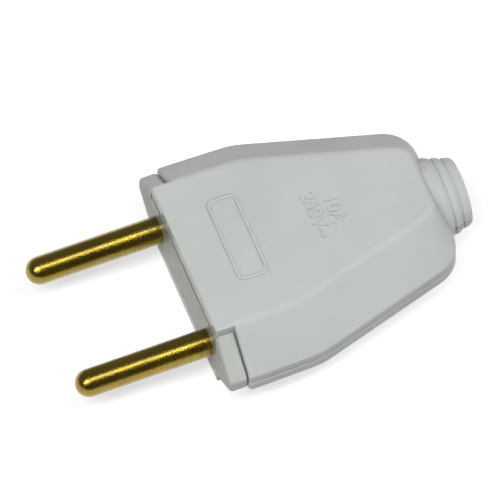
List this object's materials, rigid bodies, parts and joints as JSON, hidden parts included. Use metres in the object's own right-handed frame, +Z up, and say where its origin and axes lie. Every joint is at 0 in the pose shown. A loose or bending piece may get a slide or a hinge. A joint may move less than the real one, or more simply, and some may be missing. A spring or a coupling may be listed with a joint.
{
  "type": "two-pin plug",
  "caption": "Flat mains plug with round brass pins, a bevelled split housing with a separate pin carrier, and a ringed collar where the cord enters.",
  "frame": {"origin": "middle of the engagement face, halfway between the pins, on the plane of their axes", "axes": "-X along the pins, +X towards the cord outlet, +Z up from the flat underside, +Y to the right of the plug as it is pushed in"},
  "size_m": [0.0603, 0.0356, 0.0138],
  "materials": {
    "shell": "satin moulded",
    "carrier": "satin moulded",
    "pin": "turned",
    "screw": "zinc plated",
    "clamp": "satin moulded"
  },
  "bodies": {
    "root": {"upper_shell": "shell", "lower_shell": "shell", "pin_carrier": "carrier", "contact_pin_left": "pin", "contact_pin_right": "pin", "terminal_screws": "screw", "housing_screw": "screw", "cord_clamp": "clamp", "cord_clamp_screws": "screw"}
  },
  "joints": []
}
